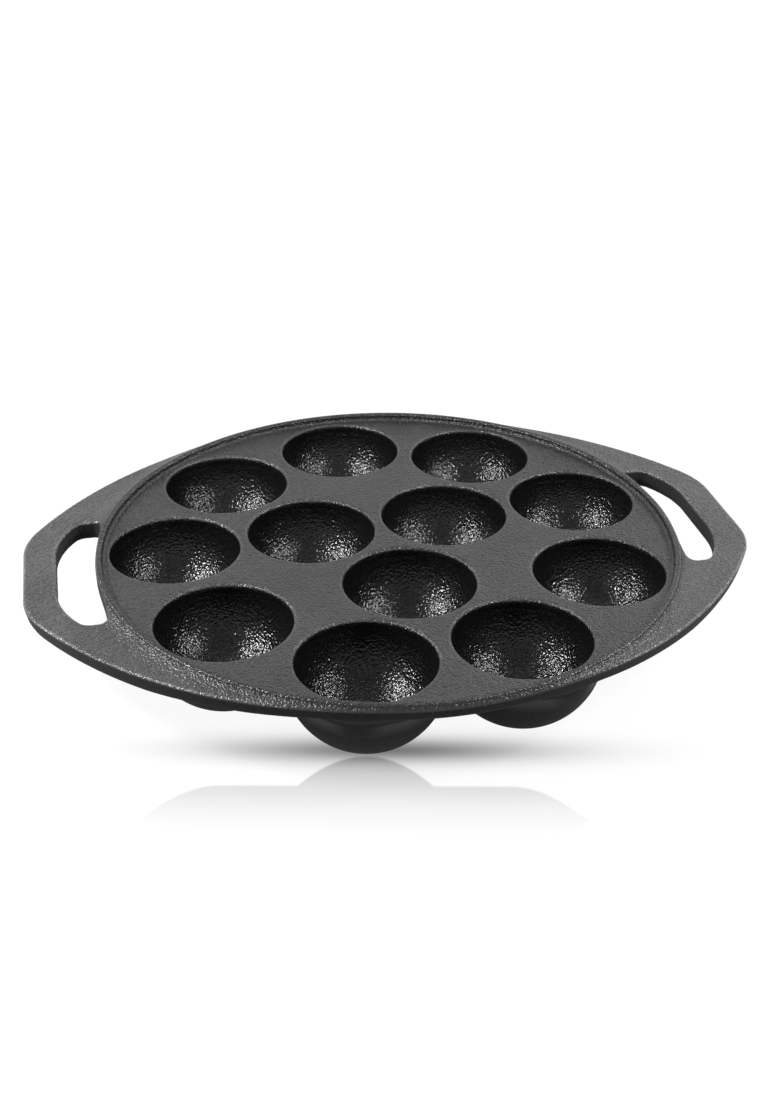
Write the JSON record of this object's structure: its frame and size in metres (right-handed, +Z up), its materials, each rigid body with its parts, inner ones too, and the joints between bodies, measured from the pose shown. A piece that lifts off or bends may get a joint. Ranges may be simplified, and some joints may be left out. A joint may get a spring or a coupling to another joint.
{
  "type": "aebleskiver pan",
  "caption": "Cast iron pan with rings of half-ball cups in a level deck, a low rim and a lens-shaped flange with a slotted grip at either end",
  "frame": {"origin": "on the floor, under the middle of the pan's bounding box", "axes": "+X towards the right grip as the picture shows it, +Y away from the viewer to the back, +Z up out of the cups"},
  "size_m": [0.2796, 0.2278, 0.0354],
  "materials": {
    "seasoned_iron": "satin, fine sand-cast grain"
  },
  "bodies": {
    "root": {"deck": "seasoned_iron", "rim": "seasoned_iron", "front_flange": "seasoned_iron", "back_flange": "seasoned_iron", "left_grip": "seasoned_iron", "right_grip": "seasoned_iron", "inner_cup_1": "seasoned_iron", "inner_cup_2": "seasoned_iron", "inner_cup_3": "seasoned_iron", "outer_cup_1": "seasoned_iron", "outer_cup_2": "seasoned_iron", "outer_cup_3": "seasoned_iron", "outer_cup_4": "seasoned_iron", "outer_cup_5": "seasoned_iron", "outer_cup_6": "seasoned_iron", "outer_cup_7": "seasoned_iron", "outer_cup_8": "seasoned_iron", "outer_cup_9": "seasoned_iron"}
  },
  "joints": []
}
